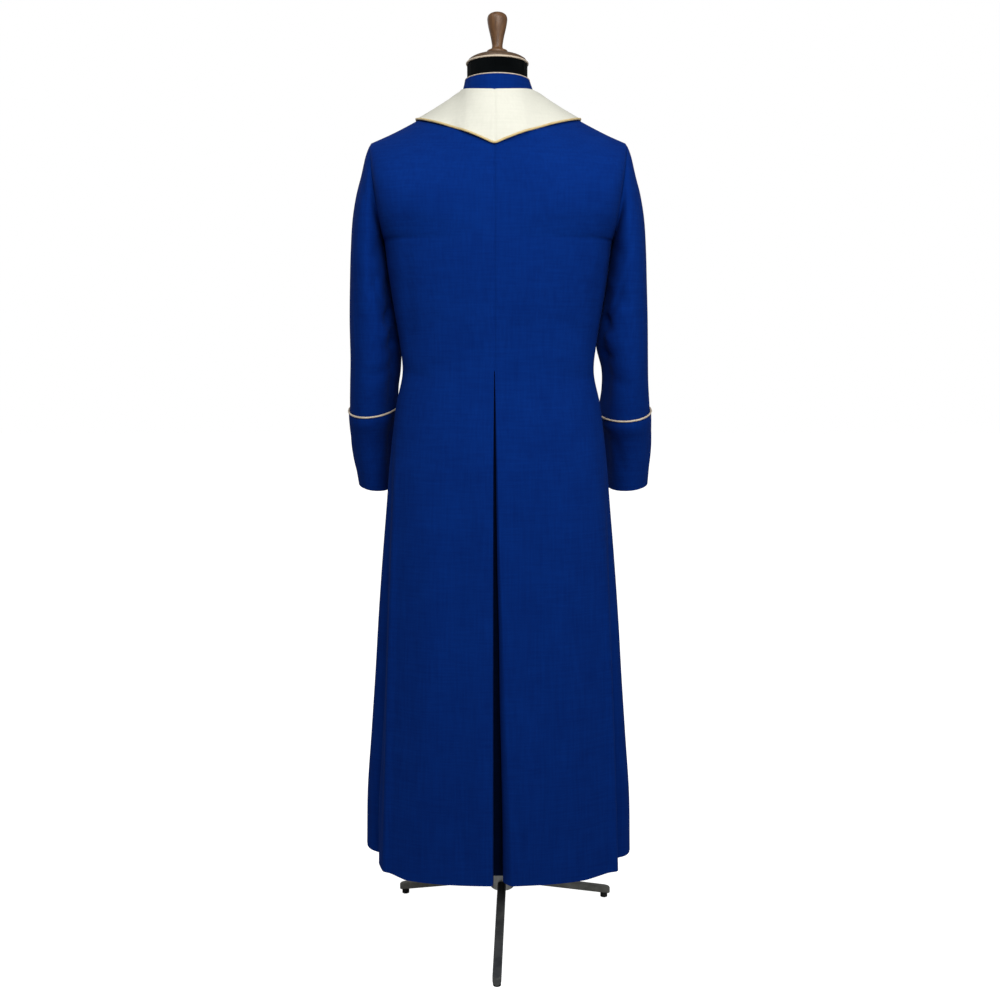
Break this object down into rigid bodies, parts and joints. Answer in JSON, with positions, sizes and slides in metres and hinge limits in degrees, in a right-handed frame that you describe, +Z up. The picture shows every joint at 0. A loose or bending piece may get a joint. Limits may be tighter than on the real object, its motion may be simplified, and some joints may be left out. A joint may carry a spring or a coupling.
{
  "type": "cassock on a dress form and stand",
  "caption": "Long blue cassock with an ivory cape collar, piped cuffs and a back pleat, on a limbless dress form with a tripod stand.",
  "frame": {"origin": "on the floor, below the middle of the whole object's box", "axes": "+Z up; +Y from the garment's back to its front; +X to the viewer's right when seen from behind"},
  "size_m": [0.5924, 0.4518, 1.76],
  "materials": {
    "blue_wool": "fine matt wool twill",
    "ivory_wool": "matt plain cloth",
    "gold_cord": "satin corded piping",
    "champagne_cord": "satin corded piping",
    "black_velvet": "velvet",
    "turned_wood": "satin varnish",
    "grey_metal": "satin",
    "black_rubber": "matt"
  },
  "bodies": {
    "root": {"back_left": "blue_wool", "back_right": "blue_wool", "front_left": "blue_wool", "front_right": "blue_wool", "sleeve_left": "blue_wool", "sleeve_right": "blue_wool", "cuff_left": "blue_wool", "cuff_right": "blue_wool", "pleat_underlay": "blue_wool", "stand_collar": "blue_wool", "cape_collar": "ivory_wool", "cape_collar_piping": "gold_cord", "cuff_piping_left": "champagne_cord", "cuff_piping_right": "champagne_cord", "stand_collar_piping": "champagne_cord", "form_braid": "champagne_cord", "form_body": "black_velvet", "form_cap": "turned_wood", "form_knob": "turned_wood", "stand_pole": "grey_metal", "stand_hub": "grey_metal", "leg_near": "grey_metal", "leg_right": "grey_metal", "leg_left": "grey_metal", "foot_pad_near": "black_rubber", "foot_pad_right": "black_rubber", "foot_pad_left": "black_rubber"}
  },
  "joints": []
}
